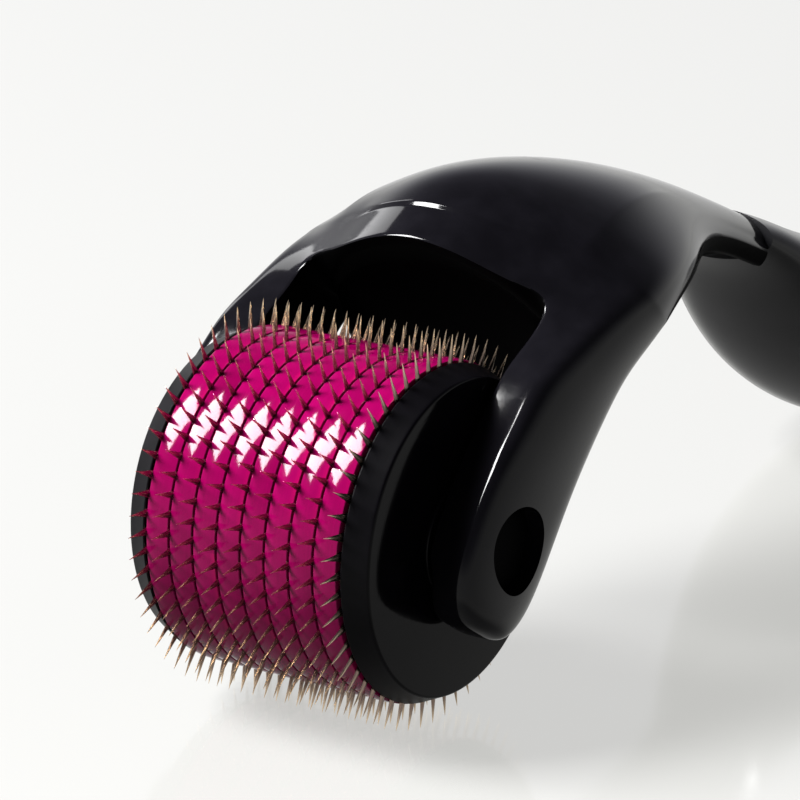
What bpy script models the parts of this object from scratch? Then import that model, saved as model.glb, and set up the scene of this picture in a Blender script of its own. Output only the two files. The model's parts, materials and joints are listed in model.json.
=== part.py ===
"""Derma roller: a fork and grip that carry a free-turning drum of needle discs.

Frame: metres, +Z up, drum axis along X, grip towards +Y. The roller stands on a table at z = 0, on its
needle tips and on a flat under the grip. The origin is under the middle of its overall box.
"""
import math

import bmesh
import bpy
import numpy as np
from mathutils import Matrix, Vector

MM = 0.001

# ---- drum ----
RING_RADIUS = 10.0 * MM
RING_WIDTH = 1.35 * MM
RING_COUNT = 8
DISC_THICKNESS = 0.20 * MM
STACK_GAP = 0.05 * MM
NEEDLE_COUNT = 56
NEEDLE_LENGTH = 1.5 * MM
NEEDLE_BASE_WIDTH = 0.42 * MM
NEEDLE_ROOT_DEPTH = 0.15 * MM
ROW_TURNS = (0.68, 0.48, 0.56, 0.57, 0.34, 0.53, 0.75, 0.23, 0.75)
CORE_RADIUS = 5.0 * MM
CORE_SIDES = 6
CORE_BORE_RADIUS = 2.6 * MM
KEY_CLEARANCE = 0.10 * MM
CAP_WIDTH = 1.5 * MM
CAP_INSET = 0.15 * MM
CAP_EDGE = 0.45 * MM
BOSS_RADIUS = 3.6 * MM
BOSS_HEIGHT = 0.15 * MM
AXLE_RADIUS = 2.45 * MM
AXLE_CHAMFER = 0.3 * MM
SPIGOT_LENGTH = 4.0 * MM
PRESS_GAP = 0.05 * MM

# ---- fork ----
SIDE_CLEARANCE = 0.35 * MM
ARM_THICKNESS = 4.0 * MM
ARM_END_RADIUS = 4.6 * MM
AXLE_CLEARANCE = 0.10 * MM
AXLE_RECESS = 1.3 * MM
TANG_WIDTH = 4.4 * MM
TANG_HEIGHT = 1.7 * MM
TANG_LENGTH = 9.0 * MM
TANG_ROOT = 3.0 * MM
TANG_STATION = 3

# ---- grip ----
GRIP_LENGTH = 88.5 * MM
GRIP_WIDTH = 16.6 * MM
GRIP_CREST = 12.6 * MM
PARTING_GAP = 0.3 * MM
NECK_LEAN = 0.32
SOCKET_CLEARANCE = 0.15 * MM

# ---- worked out from the sizes above ----
PITCH = RING_WIDTH + DISC_THICKNESS + 2.0 * STACK_GAP
DISC_COUNT = RING_COUNT + 1
STACK_HALF = RING_COUNT / 2.0 * PITCH + DISC_THICKNESS / 2.0
TIP_RADIUS = RING_RADIUS + NEEDLE_LENGTH
CAP_INNER_X = STACK_HALF + STACK_GAP
CAP_OUTER_X = CAP_INNER_X + CAP_WIDTH
ARM_INNER_X = CAP_OUTER_X + SIDE_CLEARANCE
ARM_OUTER_X = ARM_INNER_X + ARM_THICKNESS
AXLE_END_X = ARM_OUTER_X - AXLE_RECESS

AXLE_Z = TIP_RADIUS

CIRCLE_STEPS = 48
SMALL_STEPS = 24
LIMIT_OF_OCTAGON = 6.0 / (4.0 + 2.0 * math.cos(math.pi / 4.0))
FLAT_EDGE = 1.0

# Arm stations from the tip upwards, about the axle: direction of the arm in degrees, then the distance along
# it and the front and back half depths as shares of the end radius.
ARM_STATIONS = (
    (57.0, -1.12, 0.42, 0.50),
    (57.0, -0.68, 0.86, 0.92),
    (56.0, 0.00, 0.96, 1.04),
)
# Stations about the axle, as (degrees above +Y, stand-off beyond the needle tips in mm).
# Arms only: front edge, back edge.
SHANK_STATIONS = (
    ((108.0, -5.9), (7.0, -4.9)),
    ((80.5, -4.1), (21.0, -1.95)),
    ((68.0, -1.5), (26.5, 1.0)),
    ((57.0, 0.7), (28.5, 3.2)),
)
# Head, from the lip's front edge and its ridge to the neck's end. Top: on the centre line, near the arm,
# above the arm's inner face and at the outer edge. Front and underside of the web: on the centre line, near
# the arm and at it. Middle of the outer edge, back edge of the arm, and the half width and inner half width
# as shares of the arm's own faces.
HEAD_STATIONS = (
    ((65.8, 5.1), (63.8, 3.7), (53.0, 3.8), (46.0, 4.6),
     (62.8, 4.7), (59.5, 3.5), (45.5, 3.9), (36.9, 4.6), (28.1, 5.7), 1.00, 1.00),
    ((63.4, 7.3), (54.2, 7.1), (49.6, 7.0), (42.6, 7.0),
     (54.0, 4.8), (49.6, 4.2), (40.5, 5.5), (34.7, 6.8), (28.2, 7.8), 1.00, 1.00),
    ((54.2, 10.7), (48.4, 10.2), (44.6, 10.0), (37.7, 9.7),
     (34.8, 2.9), (32.6, 3.0), (26.6, 3.7), (32.0, 9.8), (26.8, 10.5), 0.95, 0.95),
    ((39.8, 15.2), (37.3, 15.0), (35.1, 14.9), (30.1, 14.4),
     (6.7, 2.2), (7.7, 2.7), (12.3, 4.5), (26.1, 14.4), (22.1, 15.1), 0.80, 0.80),
    ((28.2, 20.5), (27.2, 20.4), (26.2, 20.3), (23.0, 20.0),
     (13.8, 11.2), (14.9, 11.9), (16.9, 15.3), (20.2, 20.0), (18.0, 19.8), 0.56, 0.56),
    ((18.7, 26.5), (18.0, 26.5), (17.2, 26.3), (15.6, 26.1),
     (13.4, 23.9), (13.5, 24.2), (13.5, 24.8), (14.5, 25.7), (13.2, 25.4), 0.41, 0.41),
    ((11.6, 32.9), (11.2, 32.7), (10.7, 32.6), (9.5, 32.0),
     (8.3, 31.4), (8.2, 31.4), (8.2, 31.4), (8.9, 31.7), (7.7, 31.2), 0.35, 0.35),
)
COLUMN_SHARES = (0.0, 0.36, 0.73, 1.0)
SECOND_COLUMN_BLEND = 0.28

# Grip stations: share of the length, top and bottom as shares of the way up from the crest and from the table
# to the neck, extra drop of the top and bottom in mm, and half width as a share of the grip's own.
GRIP_STATIONS = (
    (0.000, 1.00, 1.00, 0.0, 0.0, 0.53),
    (0.022, 0.90, 0.90, 0.0, 0.0, 0.62),
    (0.055, 0.73, 0.69, 0.0, 0.0, 0.77),
    (0.105, 0.51, 0.36, 0.0, 0.0, 0.90),
    (0.180, 0.24, 0.09, 0.0, 0.0, 0.98),
    (0.300, 0.02, 0.01, 0.0, -0.1, 1.00),
    (0.460, 0.00, 0.00, 0.4, -0.5, 0.96),
    (0.620, 0.00, 0.00, 0.9, -0.9, 0.90),
    (0.790, 0.00, 0.00, 1.8, 0.5, 0.84),
    (0.910, 0.00, 0.00, 3.3, 0.4, 0.72),
    (0.980, 0.00, 0.00, 5.2, -0.8, 0.50),
    (1.000, 0.00, 0.00, 6.6, -2.2, 0.30),
)

NECK_ENDS = (HEAD_STATIONS[-1][0], HEAD_STATIONS[-1][8])
NECK_REACH = sum((TIP_RADIUS + out * MM) * math.cos(math.radians(turn)) for turn, out in NECK_ENDS) / 2.0
OVERALL_LENGTH = TIP_RADIUS + NECK_REACH + PARTING_GAP + GRIP_LENGTH
AXLE_Y = TIP_RADIUS - OVERALL_LENGTH / 2.0


def clear_scene():
    """Remove every object that the file starts with."""
    for item in list(bpy.data.objects):
        bpy.data.objects.remove(item, do_unlink=True)


def new_collection(name):
    """Make a collection in the scene."""
    group = bpy.data.collections.new(name)
    bpy.context.scene.collection.children.link(group)
    return group


def material(name, colour, roughness, metallic=0.0, transmission=0.0):
    """Make a Principled material."""
    finish = bpy.data.materials.new(name)
    finish.use_nodes = True
    shader = finish.node_tree.nodes["Principled BSDF"]
    shader.inputs["Base Color"].default_value = (*colour, 1.0)
    shader.inputs["Roughness"].default_value = roughness
    shader.inputs["Metallic"].default_value = metallic
    shader.inputs["Transmission Weight"].default_value = transmission
    return finish


def add_part(name, mesh, finish, group, parent=None, location=(0.0, 0.0, 0.0), rotation=(0.0, 0.0, 0.0)):
    """Link a mesh as a named part with its finish, under its parent."""
    part = bpy.data.objects.new(name, mesh)
    group.objects.link(part)
    part.location = location
    part.rotation_euler = rotation
    if parent is not None:
        part.parent = parent
    if finish is not None and not mesh.materials:
        mesh.materials.append(finish)
    return part


def add_cutter(name, mesh, group, location=(0.0, 0.0, 0.0), rotation=(0.0, 0.0, 0.0)):
    """Link a mesh as a hidden cutter."""
    cutter = add_part(name, mesh, None, group, None, location, rotation)
    cutter.hide_render = True
    cutter.display_type = "WIRE"
    return cutter


def boolean(part, cutter, operation):
    """Add an exact Boolean to a part."""
    step = part.modifiers.new(cutter.name, "BOOLEAN")
    step.operation = operation
    step.solver = "EXACT"
    step.object = cutter


def subdivide(part, levels):
    """Add Subdivision Surface, the same for view and render."""
    step = part.modifiers.new("soft_form", "SUBSURF")
    step.levels = levels
    step.render_levels = levels


def box_mesh(name, size):
    """A box of the given size about its own origin."""
    mesh = bpy.data.meshes.new(name)
    shape = bmesh.new()
    bmesh.ops.create_cube(shape, size=1.0, matrix=Matrix.Diagonal((*size, 1.0)))
    shape.to_mesh(mesh)
    shape.free()
    return mesh


def rod_mesh(name, radius, length, steps):
    """A cylinder along local Z about its own origin."""
    mesh = bpy.data.meshes.new(name)
    shape = bmesh.new()
    bmesh.ops.create_cone(shape, cap_ends=True, segments=steps, radius1=radius, radius2=radius, depth=length)
    shape.to_mesh(mesh)
    shape.free()
    return mesh


def outline_mesh(name, loops, thickness):
    """Extrude flat closed outlines (the later ones are holes) along local Z into one body."""
    curve = bpy.data.curves.new(name, "CURVE")
    curve.dimensions = "2D"
    curve.fill_mode = "BOTH"
    curve.extrude = thickness / 2.0
    for loop in loops:
        spline = curve.splines.new("POLY")
        spline.points.add(len(loop) - 1)
        spline.use_cyclic_u = True
        for point, (across, up) in zip(spline.points, loop):
            point.co = (across, up, 0.0, 1.0)
    source = bpy.data.objects.new(name + "_outline", curve)
    bpy.context.scene.collection.objects.link(source)
    graph = bpy.context.evaluated_depsgraph_get()
    mesh = bpy.data.meshes.new_from_object(source.evaluated_get(graph))
    mesh.name = name
    bpy.data.objects.remove(source, do_unlink=True)
    shape = bmesh.new()
    shape.from_mesh(mesh)
    bmesh.ops.remove_doubles(shape, verts=shape.verts, dist=1e-7)
    bmesh.ops.recalc_face_normals(shape, faces=shape.faces)
    shape.to_mesh(mesh)
    shape.free()
    return mesh


def polygon(radius, sides, turn=0.0):
    """Corners of a regular polygon."""
    angles = turn + np.arange(sides) * (2.0 * math.pi / sides)
    return list(zip(radius * np.cos(angles), radius * np.sin(angles)))


def turned_mesh(name, profile):
    """An open profile of (radius, height) points in the XZ plane, for the Screw modifier."""
    mesh = bpy.data.meshes.new(name)
    points = [(radius, 0.0, height) for radius, height in profile]
    edges = [(index, index + 1) for index in range(len(points) - 1)]
    mesh.from_pydata(points, edges, [])
    return mesh


def turn(part, steps):
    """Spin a part's profile round its local Z."""
    step = part.modifiers.new("turned", "SCREW")
    step.axis = "Z"
    step.angle = 2.0 * math.pi
    step.steps = steps
    step.render_steps = steps
    step.use_merge_vertices = True
    step.merge_threshold = 1e-6
    step.use_smooth_shade = True


def core_hole():
    """Hexagonal hole that slides over the core."""
    return polygon(CORE_RADIUS + KEY_CLEARANCE, CORE_SIDES)


def needle_disc_mesh(share):
    """Flat disc whose rim carries thorn-shaped needles, started at a share of the needle pitch."""
    root = RING_RADIUS - NEEDLE_ROOT_DEPTH
    half_base = NEEDLE_BASE_WIDTH / 2.0 / root
    step = 2.0 * math.pi / NEEDLE_COUNT
    rim = []
    for index in range(NEEDLE_COUNT):
        middle = (index + share) * step
        for angle, radius in ((middle - half_base, root), (middle, TIP_RADIUS), (middle + half_base, root)):
            rim.append((radius * math.sin(angle), -radius * math.cos(angle)))
    return outline_mesh("needle_disc", [rim, core_hole()], DISC_THICKNESS)


def cap_profile():
    """Outline of an end cap from the axle's end, over the rim, to the spigot's end."""
    corner = np.linspace(0.0, math.pi / 2.0, 4)
    rim = RING_RADIUS - CAP_INSET
    points = [(0.0, AXLE_END_X), (AXLE_RADIUS - AXLE_CHAMFER, AXLE_END_X)]
    points += [(AXLE_RADIUS, AXLE_END_X - AXLE_CHAMFER), (AXLE_RADIUS, CAP_OUTER_X + BOSS_HEIGHT)]
    points += [(BOSS_RADIUS, CAP_OUTER_X + BOSS_HEIGHT), (BOSS_RADIUS, CAP_OUTER_X)]
    points += [(rim - CAP_EDGE + CAP_EDGE * math.sin(a), CAP_OUTER_X - CAP_EDGE + CAP_EDGE * math.cos(a))
               for a in corner]
    spigot = CORE_BORE_RADIUS - PRESS_GAP
    points += [(rim, CAP_INNER_X), (spigot, CAP_INNER_X)]
    points += [(spigot, CAP_INNER_X - SPIGOT_LENGTH), (0.0, CAP_INNER_X - SPIGOT_LENGTH)]
    return points


def build_drum(group, finishes):
    """Core, rings, discs and caps, all on the empty at the drum's axis."""
    axis = bpy.data.objects.new("drum_axis", None)
    group.objects.link(axis)
    axis.location = (0.0, AXLE_Y, AXLE_Z)
    across = (0.0, math.pi / 2.0, 0.0)
    core_outlines = [polygon(CORE_RADIUS, CORE_SIDES), polygon(CORE_BORE_RADIUS, SMALL_STEPS)]
    core = outline_mesh("drum_core", core_outlines, 2.0 * STACK_HALF)
    add_part("drum_core", core, finishes["core"], group, axis, rotation=across)
    ring = outline_mesh("spacer_ring", [polygon(RING_RADIUS, CIRCLE_STEPS), core_hole()], RING_WIDTH)
    for index in range(RING_COUNT):
        place = ((index - (RING_COUNT - 1) / 2.0) * PITCH, 0.0, 0.0)
        add_part(f"spacer_ring_{index + 1}", ring, finishes["ring"], group, axis, place, across)
    for index in range(DISC_COUNT):
        disc = needle_disc_mesh(ROW_TURNS[index % len(ROW_TURNS)])
        place = ((index - RING_COUNT / 2.0) * PITCH, 0.0, 0.0)
        add_part(f"needle_disc_{index + 1}", disc, finishes["needle"], group, axis, place, across)
    cap = turned_mesh("end_cap", cap_profile())
    for name, side in (("end_cap_near", 1.0), ("end_cap_far", -1.0)):
        part = add_part(name, cap, finishes["cap"], group, axis, rotation=(0.0, side * math.pi / 2.0, 0.0))
        turn(part, CIRCLE_STEPS)


def polar(station):
    """A point (y, z) about the axle from degrees above +Y and millimetres beyond the needle tips."""
    angle = math.radians(station[0])
    radius = TIP_RADIUS + station[1] * MM
    return Vector((radius * math.cos(angle), radius * math.sin(angle)))


def arm_rows():
    """Sections of one arm from its round end upwards: places to (x, y, z) about the axle."""
    edges = []
    for degrees, along, front, back in ARM_STATIONS:
        angle = math.radians(degrees)
        run = Vector((math.cos(angle), math.sin(angle)))
        out = Vector((-run.y, run.x))
        middle = run * along * ARM_END_RADIUS
        edges.append((middle + out * front * ARM_END_RADIUS, middle - out * back * ARM_END_RADIUS))
    edges += [(polar(front), polar(back)) for front, back in SHANK_STATIONS]
    faces = {"3": ARM_INNER_X, "4": (ARM_INNER_X + ARM_OUTER_X) / 2.0, "5": ARM_OUTER_X}
    rows = []
    for front, back in edges:
        levels = {"T": front, "M": (front + back) / 2.0, "B": back}
        rows.append({level + column: (x, *point)
                     for level, point in levels.items() for column, x in faces.items()})
    return rows


def head_rows():
    """Sections of the head and neck, half of each: places to (x, y, z) about the axle."""
    rows = []
    for top_0, top_2, top_3, top_5, web_0, web_2, web_3, side_5, back, width, inner in HEAD_STATIONS:
        inside, outside = ARM_INNER_X * inner, ARM_OUTER_X * width
        middle = (inside + outside) / 2.0
        row = {}
        for level, *stations in (("T", top_0, top_2, top_3), ("M", web_0, web_2, web_3)):
            first, third, fourth = (polar(station) for station in stations)
            points = (first, first.lerp(third, SECOND_COLUMN_BLEND), third, fourth)
            for column, (share, point) in enumerate(zip(COLUMN_SHARES, points)):
                row[f"{level}{column}"] = (inside * share, *point)
        row["T4"] = (middle, *polar(top_3).lerp(polar(top_5), 0.42))
        row["T5"] = (outside, *polar(top_5))
        row["M5"] = (outside, *polar(side_5))
        row["M4"] = (middle, *polar(web_3).lerp(polar(side_5), 0.5))
        for column, x in (("3", inside), ("4", middle), ("5", outside)):
            row["B" + column] = (x, *polar(back))
        rows.append(row)
    return rows


def strip(rows, first, second, places, closed):
    """Quads between two neighbouring sections along a chain of places."""
    ends = places[1:] + places[:1] if closed else places[1:]
    return [[(first, a), (first, b), (second, b), (second, a)] for a, b in zip(places, ends)]


def fork_mesh():
    """Half cage of the fork, open at the middle plane, with its sharp edges creased."""
    arms, head = arm_rows(), head_rows()
    rows = arms + head
    joint = len(arms)
    last = len(rows) - 1
    round_arm = ["T3", "T4", "T5", "M5", "B5", "B4", "B3", "M3"]
    round_head = ["T0", "T1", "T2"] + round_arm + ["M2", "M1", "M0"]
    quads = []
    for index in range(joint - 1):
        quads += strip(rows, index, index + 1, round_arm, True)
    quads += strip(rows, joint - 1, joint, round_arm, True)
    for index in range(joint, last):
        quads += strip(rows, index, index + 1, round_head, False)
    arm_end = [("T3", "T4", "M4", "M3"), ("T4", "T5", "M5", "M4"),
               ("M3", "M4", "B4", "B3"), ("M4", "M5", "B5", "B4")]
    web_end = [("T0", "T1", "M1", "M0"), ("T1", "T2", "M2", "M1"), ("T2", "T3", "M3", "M2")]
    quads += [[(0, place) for place in face] for face in arm_end]
    quads += [[(joint, place) for place in face] for face in web_end]
    quads += [[(last, place) for place in face] for face in arm_end + web_end]
    shape = bmesh.new()
    corners = {}
    for quad in quads:
        for row, place in quad:
            if (row, place) not in corners:
                corners[(row, place)] = shape.verts.new(rows[row][place])
        shape.faces.new([corners[key] for key in quad])
    crease = shape.edges.layers.float.new("crease_edge")
    sharp = [(joint, a, joint, b, 0.7) for a, b in (("T0", "T1"), ("T1", "T2"), ("T2", "T3"))]
    sharp += [(joint + 1, a, joint + 1, b, 0.9) for a, b in (("T0", "T1"), ("T1", "T2"), ("T2", "T3"))]
    sharp += [(joint, a, joint, b, 0.4) for a, b in (("M0", "M1"), ("M1", "M2"))]
    sharp += [(index, "T3", index + 1, "T3", 0.5) for index in range(1, joint)]
    sharp += [(index, "B3", index + 1, "B3", 0.4) for index in range(1, joint)]
    sharp += [(last, a, last, b, FLAT_EDGE) for a, b in zip(round_head, round_head[1:])]
    for row_a, a, row_b, b, amount in sharp:
        edge = shape.edges.get((corners[(row_a, a)], corners[(row_b, b)]))
        edge[crease] = amount
    bmesh.ops.recalc_face_normals(shape, faces=shape.faces)
    mesh = bpy.data.meshes.new("fork")
    shape.to_mesh(mesh)
    shape.free()
    return mesh


def neck_end():
    """Top and bottom of the neck's end face on the middle plane, about the axle."""
    end = HEAD_STATIONS[-1]
    return polar(end[0]), polar(end[8])


def tang_place():
    """Middle of the tang about the axle and its tilt, which follows the fall of the grip's crest."""
    top, bottom = neck_end()
    share, high = GRIP_STATIONS[TANG_STATION][:2]
    tilt = math.atan2((1.0 - high) * (AXLE_Z + top.y - GRIP_CREST), share * GRIP_LENGTH)
    run = Vector((math.cos(tilt), -math.sin(tilt)))
    middle = (top + bottom) / 2.0 + run * (TANG_LENGTH - TANG_ROOT) / 2.0
    return (0.0, AXLE_Y + middle.x, AXLE_Z + middle.y), (-tilt, 0.0, 0.0)


def build_fork(group, cutters, finish):
    """Fork with its axle holes and the tang that the grip takes."""
    fork = add_part("fork", fork_mesh(), finish, group, None, (0.0, AXLE_Y, AXLE_Z))
    mirror = fork.modifiers.new("both_sides", "MIRROR")
    mirror.use_axis = (True, False, False)
    mirror.merge_threshold = 1e-6
    subdivide(fork, 1)
    place, tilt = tang_place()
    tang = box_mesh("tang", (TANG_WIDTH, TANG_LENGTH + TANG_ROOT, TANG_HEIGHT))
    tang = add_cutter("tang", tang, cutters, place, tilt)
    boolean(fork, tang, "UNION")
    hole = rod_mesh("axle_hole", AXLE_RADIUS + AXLE_CLEARANCE, 3.0 * ARM_OUTER_X, SMALL_STEPS)
    hole = add_cutter("axle_hole", hole, cutters, (0.0, AXLE_Y, AXLE_Z), (0.0, math.pi / 2.0, 0.0))
    boolean(fork, hole, "DIFFERENCE")


def grip_mesh():
    """Cage of the grip: octagonal sections from the parting plane to the tail."""
    top, bottom = neck_end()
    neck_top, neck_bottom = AXLE_Z + top.y, AXLE_Z + bottom.y
    start = AXLE_Y + NECK_REACH + PARTING_GAP
    angles = np.arange(8) * (math.pi / 4.0)
    shape = bmesh.new()
    loops = []
    for share, high, low, sag, lift, width in GRIP_STATIONS:
        crest = GRIP_CREST + high * (neck_top - GRIP_CREST) - sag * MM
        base = low * neck_bottom - lift * MM
        middle, half = (crest + base) / 2.0, (crest - base) / 2.0
        across = GRIP_WIDTH / 2.0 * width * LIMIT_OF_OCTAGON * np.cos(angles)
        up = half * LIMIT_OF_OCTAGON * np.sin(angles)
        along = start + share * GRIP_LENGTH + NECK_LEAN * high * up
        loops.append([shape.verts.new(point) for point in zip(across, along, middle + up)])
    for near, far in zip(loops, loops[1:]):
        for index in range(8):
            following = (index + 1) % 8
            shape.faces.new((near[index], near[following], far[following], far[index]))
    for loop in (loops[0], loops[-1]):
        centre = shape.verts.new(sum((corner.co for corner in loop), Vector()) / 8.0)
        for index in range(0, 8, 2):
            shape.faces.new((centre, loop[index], loop[index + 1], loop[(index + 2) % 8]))
    crease = shape.edges.layers.float.new("crease_edge")
    for index in range(8):
        shape.edges.get((loops[0][index], loops[0][(index + 1) % 8]))[crease] = FLAT_EDGE
    bmesh.ops.recalc_face_normals(shape, faces=shape.faces)
    mesh = bpy.data.meshes.new("grip")
    shape.to_mesh(mesh)
    shape.free()
    return mesh


def build_grip(group, cutters, finish):
    """Grip with the socket for the tang and the flat that it rests on."""
    grip = add_part("grip", grip_mesh(), finish, group)
    subdivide(grip, 1)
    place, tilt = tang_place()
    size = (TANG_WIDTH + 2.0 * SOCKET_CLEARANCE, TANG_LENGTH + TANG_ROOT + 2.0 * SOCKET_CLEARANCE,
            TANG_HEIGHT + 2.0 * SOCKET_CLEARANCE)
    socket = add_cutter("socket", box_mesh("socket", size), cutters, place, tilt)
    boolean(grip, socket, "DIFFERENCE")
    below = box_mesh("table", (4.0 * GRIP_WIDTH, 3.0 * GRIP_LENGTH, GRIP_WIDTH))
    table = add_cutter("table", below, cutters, (0.0, 0.0, -GRIP_WIDTH / 2.0))
    boolean(grip, table, "DIFFERENCE")


def smooth_rounds(group):
    """Shade the parts smooth up to their sharp edges."""
    for part in group.objects:
        if part.type == "MESH":
            part.data.shade_smooth()
            part.data.set_sharp_from_angle(angle=math.radians(35.0))


def main():
    """Build every part of the roller."""
    clear_scene()
    parts = new_collection("derma_roller")
    cutters = new_collection("cutters")
    finishes = {
        "core": material("core_plastic", (0.03, 0.03, 0.032), 0.4),
        "ring": material("magenta_plastic", (0.56, 0.002, 0.13), 0.12, transmission=0.25),
        "needle": material("needle_steel", (0.72, 0.66, 0.58), 0.25, metallic=1.0),
        "cap": material("cap_plastic", (0.012, 0.011, 0.013), 0.12),
        "fork": material("fork_plastic", (0.010, 0.009, 0.011), 0.12),
        "grip": material("grip_plastic", (0.012, 0.012, 0.013), 0.22),
    }
    build_drum(parts, finishes)
    build_fork(parts, cutters, finishes["fork"])
    build_grip(parts, cutters, finishes["grip"])
    smooth_rounds(parts)


main()
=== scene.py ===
"""Looks of a derma roller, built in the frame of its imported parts.

Frame: metres, +Z up, the drum's axis along X, the grip towards +Y, the roller standing on z = 0. The drum's
pieces turn about the axle with the body "drum"; the fork and the grip belong to the body "handle".
"""
from __future__ import annotations

import json
import logging
import math
from dataclasses import dataclass
from enum import Enum

import bmesh
import bpy
import numpy as np
from mathutils import Matrix, Vector

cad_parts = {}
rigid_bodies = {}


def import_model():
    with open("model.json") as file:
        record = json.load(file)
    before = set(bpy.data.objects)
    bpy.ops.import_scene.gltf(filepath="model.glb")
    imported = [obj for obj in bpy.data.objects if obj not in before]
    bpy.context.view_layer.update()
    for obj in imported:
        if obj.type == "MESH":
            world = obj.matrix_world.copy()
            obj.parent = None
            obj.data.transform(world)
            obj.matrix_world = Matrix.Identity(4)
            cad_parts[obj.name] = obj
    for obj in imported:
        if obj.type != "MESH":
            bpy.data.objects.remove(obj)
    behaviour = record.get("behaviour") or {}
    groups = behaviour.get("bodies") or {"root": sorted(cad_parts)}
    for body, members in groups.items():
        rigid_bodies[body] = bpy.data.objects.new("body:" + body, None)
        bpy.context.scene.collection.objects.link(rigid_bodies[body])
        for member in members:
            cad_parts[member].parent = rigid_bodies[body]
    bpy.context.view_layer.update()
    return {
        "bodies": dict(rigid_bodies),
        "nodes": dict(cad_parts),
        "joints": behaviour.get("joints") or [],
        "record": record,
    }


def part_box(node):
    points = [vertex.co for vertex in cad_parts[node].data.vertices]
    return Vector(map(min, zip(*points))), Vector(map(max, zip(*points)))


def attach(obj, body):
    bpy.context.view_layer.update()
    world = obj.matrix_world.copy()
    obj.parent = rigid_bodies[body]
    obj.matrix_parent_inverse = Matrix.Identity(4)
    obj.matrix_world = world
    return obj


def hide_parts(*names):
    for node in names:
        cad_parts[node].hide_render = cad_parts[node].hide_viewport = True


LOG = logging.getLogger("derma_roller")
MM = 0.001
DRUM = "drum"
HANDLE = "handle"

Point = tuple[float, float]
Colour = tuple[float, float, float]


# ---- mesh helpers ----


def quad_grid(rows: int, columns: int, close_rows: bool, close_columns: bool) -> np.ndarray:
    """Faces of a grid of points numbered row by row.

    Args:
        rows: number of rows of points.
        columns: number of points in a row.
        close_rows: join the last row to the first.
        close_columns: join the last point of each row to its first.

    Returns:
        Quads as an array of four point numbers each.
    """
    row = np.arange(rows if close_rows else rows - 1)[:, None]
    column = np.arange(columns if close_columns else columns - 1)[None, :]
    next_row, next_column = (row + 1) % rows, (column + 1) % columns
    corners = (row * columns + column, row * columns + next_column,
               next_row * columns + next_column, next_row * columns + column)
    return np.stack(np.broadcast_arrays(*corners), axis=-1).reshape(-1, 4)


def add_object(name: str, data: bpy.types.ID) -> bpy.types.Object:
    """Make an object of mesh, light or camera data, put it in the scene and return it."""
    made = bpy.data.objects.new(name, data)
    bpy.context.scene.collection.objects.link(made)
    return made


def make_piece(name: str, points: np.ndarray, faces: list[np.ndarray]) -> bpy.types.Object:
    """Make a smooth-shaded object at the origin.

    Args:
        name: the object's name.
        points: places (x, y, z), in an array of any shape that ends in them.
        faces: groups of faces, each an array of point numbers.

    Returns:
        The new object.
    """
    mesh = bpy.data.meshes.new(name)
    rings = [tuple(corners) for group in faces for corners in group.tolist()]
    mesh.from_pydata(points.reshape(-1, 3).tolist(), [], rings)
    mesh.validate()
    mesh.shade_smooth()
    return add_object(name, mesh)


def full_turn(steps: int) -> np.ndarray:
    """Evenly spaced angles of a whole turn, in radians."""
    return np.linspace(0.0, 2.0 * math.pi, steps, endpoint=False)


def arc(centre: Point, radius: float, start: float, end: float, steps: int) -> np.ndarray:
    """Points of a round corner: centre + radius (cos t, sin t), t from start to end in degrees."""
    turn = np.radians(np.linspace(start, end, steps))
    return np.stack([centre[0] + radius * np.cos(turn), centre[1] + radius * np.sin(turn)], axis=1)


def subdivide(piece: bpy.types.Object, levels: int) -> None:
    """Add Subdivision Surface with equal view and render levels."""
    step = piece.modifiers.new("soft_form", "SUBSURF")
    step.levels = levels
    step.render_levels = levels


def settle(piece: bpy.types.Object, sharp_degrees: float) -> None:
    """Turn a piece's modifiers into mesh and mark its edges that are sharper than the angle."""
    graph = bpy.context.evaluated_depsgraph_get()
    mesh = bpy.data.meshes.new_from_object(piece.evaluated_get(graph))
    piece.modifiers.clear()
    piece.data = mesh
    mesh.shade_smooth()
    mesh.set_sharp_from_angle(angle=math.radians(sharp_degrees))


def outwards(mesh: bpy.types.Mesh) -> None:
    """Turn every face of a closed mesh outwards."""
    mesh.update()
    shape = bmesh.new()
    shape.from_mesh(mesh)
    bmesh.ops.recalc_face_normals(shape, faces=shape.faces)
    shape.to_mesh(mesh)
    shape.free()


def edge_ends(mesh: bpy.types.Mesh) -> np.ndarray:
    """Point numbers of each edge's two ends, the lower one first."""
    ends = np.empty(len(mesh.edges) * 2, np.int64)
    mesh.edges.foreach_get("vertices", ends)
    return np.sort(ends.reshape(-1, 2), axis=1)


def write_creases(mesh: bpy.types.Mesh, amount: np.ndarray) -> None:
    """Say how sharp each edge stays when the mesh is softened, from 0 to 1."""
    mesh.attributes.new("crease_edge", "FLOAT", "EDGE").data.foreach_set("value", amount)


# ---- shader helpers ----


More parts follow.
